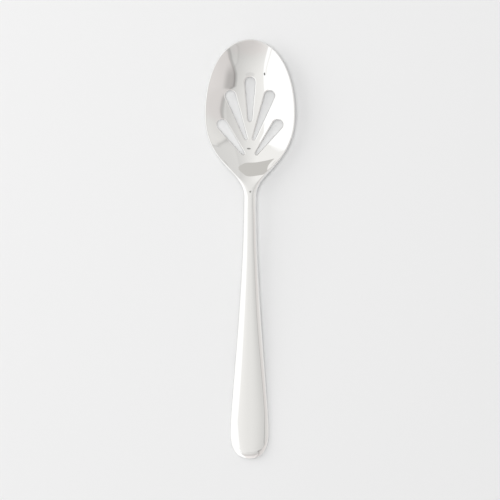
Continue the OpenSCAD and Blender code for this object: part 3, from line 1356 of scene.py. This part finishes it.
@dataclass(frozen=True)
class PolishMarks:
    """Marks on a polished surface: fine lines left by the wheel, and a soft haze from handling."""

    INPUTS: ClassVar[tuple[str, ...]] = ("Across", "Along", "Haze size", "Clean roughness", "Haze roughness")
    OUTPUTS: ClassVar[tuple[str, ...]] = ("Roughness", "Height")
    line_detail: float = 2.0
    line_span: Span = (0.55, 0.80)
    line_share: float = 0.35
    haze_detail: float = 3.0
    haze_span: Span = (0.48, 0.72)

    def group(self) -> bpy.types.ShaderNodeTree:
        """Node group of the marks.

        Both are noise on object coordinates, and that of the lines is drawn out along the spoon. The haze and
        a share of the lines take the roughness from clean to hazy.

        Returns:
            The group, with a roughness and a height for a Bump node.
        """
        tree = bpy.data.node_groups.new("polish_marks", "ShaderNodeTree")
        for way, names in (("INPUT", self.INPUTS), ("OUTPUT", self.OUTPUTS)):
            for name in names:
                tree.interface.new_socket(name, in_out=way, socket_type="NodeSocketFloat")
        graph = Graph(tree)
        given, result = graph.node("NodeGroupInput").outputs, graph.node("NodeGroupOutput").inputs
        place = graph.node("ShaderNodeTexCoord").outputs["Object"]
        scale = graph.node("ShaderNodeCombineXYZ")
        for target, name in zip(scale.inputs, ("Across", "Along", "Across")):
            graph.feed(target, given[name])
        stretched = graph.node("ShaderNodeVectorMath", operation="MULTIPLY")
        graph.feed(stretched.inputs[0], place)
        graph.feed(stretched.inputs[1], scale.outputs[0])
        lines = graph.noise(stretched.outputs[0], 1.0, self.line_detail)
        haze = graph.step(graph.noise(place, given["Haze size"], self.haze_detail), *self.haze_span)
        fine = graph.step(lines, *self.line_span)
        worn = graph.math("MULTIPLY_ADD", fine, self.line_share, haze, clamp=True)
        graph.feed(result["Roughness"], graph.blend(worn, given["Clean roughness"], given["Haze roughness"]))
        graph.feed(result["Height"], lines)
        return tree


@dataclass(frozen=True)
class SteelFinish:
    """Mirror-polished stainless steel: its colour, how rough it is and the size of its polishing lines."""

    name: str
    color: tuple[float, float, float, float] = (0.86, 0.86, 0.85, 1.0)
    clean_roughness: float = 0.025
    haze_roughness: float = 0.06
    across: float = 2600.0
    along: float = 60.0
    haze_size: float = 45.0
    line_depth: float = 2e-7

    def material(self, polish: bpy.types.ShaderNodeTree) -> bpy.types.Material:
        """Builds the material.

        Args:
            polish: node group of the polishing marks.

        Returns:
            The material: a metallic surface whose roughness and bump come from the group.
        """
        made = bpy.data.materials.new(self.name)
        made.use_nodes = True
        graph = Graph(made.node_tree)
        surface = made.node_tree.nodes["Principled BSDF"]
        surface.inputs["Base Color"].default_value = self.color
        surface.inputs["Metallic"].default_value = 1.0
        marks = graph.node("ShaderNodeGroup", node_tree=polish)
        given = (self.across, self.along, self.haze_size, self.clean_roughness, self.haze_roughness)
        for name, value in zip(PolishMarks.INPUTS, given):
            marks.inputs[name].default_value = value
        graph.feed(surface.inputs["Roughness"], marks.outputs["Roughness"])
        bump = graph.node("ShaderNodeBump")
        bump.inputs["Distance"].default_value = self.line_depth
        graph.feed(bump.inputs["Height"], marks.outputs["Height"])
        graph.feed(surface.inputs["Normal"], bump.outputs["Normal"])
        return made


@dataclass(frozen=True)
class Softbox:
    """A square lamp that faces the spoon, and that the camera and the steel don't show."""

    name: str
    place: tuple[float, float, float]
    size: float
    power: float

    def build(self) -> None:
        """Hangs the lamp."""
        light = bpy.data.lights.new(self.name, "AREA")
        light.shape = "SQUARE"
        light.size = self.size
        light.energy = self.power
        lamp = bpy.data.objects.new(self.name, light)
        lamp.location = self.place
        lamp.rotation_mode = "QUATERNION"
        lamp.rotation_quaternion = lamp.location.to_track_quat("Z", "Y")
        lamp.visible_glossy = False
        lamp.visible_camera = False
        bpy.context.scene.collection.objects.link(lamp)


@dataclass(frozen=True)
class Studio:
    """Pale floor, soft lamps, plain room and the camera straight above."""

    view_width: float = 0.28675
    view_height: float = 2.6
    view_x: float = 0.00014
    view_y: float = -0.00032
    view_turn: float = math.radians(0.08)
    sensor: float = 36.0
    floor_color: tuple[float, float, float, float] = (0.86, 0.86, 0.86, 1.0)
    floor_roughness: float = 0.75
    floor_specular: float = 0.2
    floor_half: float = 12.0
    room_light: float = 0.45
    backdrop_light: float = 0.87
    room_tilt: tuple[float, float] = (-0.06, 0.06)
    nadir_guard: float = 0.05
    clip: tuple[float, float] = (0.1, 100.0)
    lamps: tuple[Softbox, ...] = (
        Softbox("high_lamp", (-0.20, 0.14, 3.1), 0.8, 42.5),
        Softbox("window_lamp", (-0.98, 0.40, 0.70), 1.0, 4.0),
    )

    def build(self) -> None:
        """Builds the floor, the lamps, the room and the camera."""
        scene = bpy.context.scene
        scene.view_settings.view_transform = "Standard"
        self._floor()
        for lamp in self.lamps:
            lamp.build()
        self._room()
        self._camera()

    def _floor(self) -> None:
        """Lays the floor, one large square on z = 0."""
        half = self.floor_half
        mesh = bpy.data.meshes.new("floor")
        corners = [(-half, -half, 0.0), (half, -half, 0.0), (half, half, 0.0), (-half, half, 0.0)]
        mesh.from_pydata(corners, [], [(0, 1, 2, 3)])
        floor = bpy.data.objects.new("floor", mesh)
        bpy.context.scene.collection.objects.link(floor)
        material = bpy.data.materials.new("pale_floor")
        material.use_nodes = True
        surface = material.node_tree.nodes["Principled BSDF"]
        surface.inputs["Base Color"].default_value = self.floor_color
        surface.inputs["Roughness"].default_value = self.floor_roughness
        surface.inputs["Specular IOR Level"].default_value = self.floor_specular
        mesh.materials.append(material)

    def _room(self) -> None:
        """Makes the room: plain light for the floor, and for reflections the levels of its walls and window.

        A direction is given by its place on a map of the sky with straight up in the middle: its x and its y,
        each over 1 plus its z.
        """
        world = bpy.data.worlds.new("room")
        bpy.context.scene.world = world
        world.use_nodes = True
        graph = Graph(world.node_tree)
        world.node_tree.nodes.clear()
        direction = graph.node("ShaderNodeSeparateXYZ")
        graph.feed(direction.inputs[0], graph.node("ShaderNodeTexCoord").outputs["Generated"])
        over = graph.math("MAXIMUM", graph.math("ADD", direction.outputs[2], 1.0), self.nadir_guard)
        u = graph.math("DIVIDE", direction.outputs[0], over)
        v = graph.math("DIVIDE", direction.outputs[1], over)
        reflected = Room(graph, u, v).color()
        path = graph.node("ShaderNodeLightPath")
        plain = graph.math("MULTIPLY_ADD", direction.outputs[0], self.room_tilt[0], self.room_light)
        plain = graph.math("MULTIPLY_ADD", direction.outputs[1], self.room_tilt[1], plain)
        plain = graph.blend(path.outputs["Is Camera Ray"], plain, self.backdrop_light)
        strength = graph.blend(path.outputs["Is Glossy Ray"], plain, 1.0)
        color = graph.tint(path.outputs["Is Glossy Ray"], WHITE, reflected)
        background = graph.node("ShaderNodeBackground")
        graph.feed(background.inputs["Color"], color)
        graph.feed(background.inputs["Strength"], strength)
        output = graph.node("ShaderNodeOutputWorld")
        graph.feed(output.inputs[0], background.outputs[0])

    def _camera(self) -> None:
        """Hangs the camera straight above, with the tip of the bowl at the top of its view."""
        data = bpy.data.cameras.new("camera")
        data.sensor_width = self.sensor
        data.lens = self.sensor * self.view_height / self.view_width
        data.clip_start, data.clip_end = self.clip
        camera = bpy.data.objects.new("camera", data)
        camera.location = (self.view_x, self.view_y, self.view_height)
        camera.rotation_euler = (0.0, 0.0, self.view_turn)
        bpy.context.scene.collection.objects.link(camera)
        bpy.context.scene.camera = camera


def main() -> None:
    """Builds the studio and then the two pieces of the spoon, and reports each piece."""
    logging.basicConfig(level=logging.INFO, format="%(name)s %(message)s")
    Studio().build()
    surface = SpoonSurface(SpoonForm(SpoonSizes.from_frame()), GridSteps())
    polish = PolishMarks().group()
    for piece in (Bowl(surface), Handle(surface)):
        made = piece.build(SteelFinish(f"{piece.node}_steel").material(polish))
        log.info("%s: %d corners, %d faces", made.name, len(made.data.vertices), len(made.data.polygons))


if __name__ == "__main__":
    main()
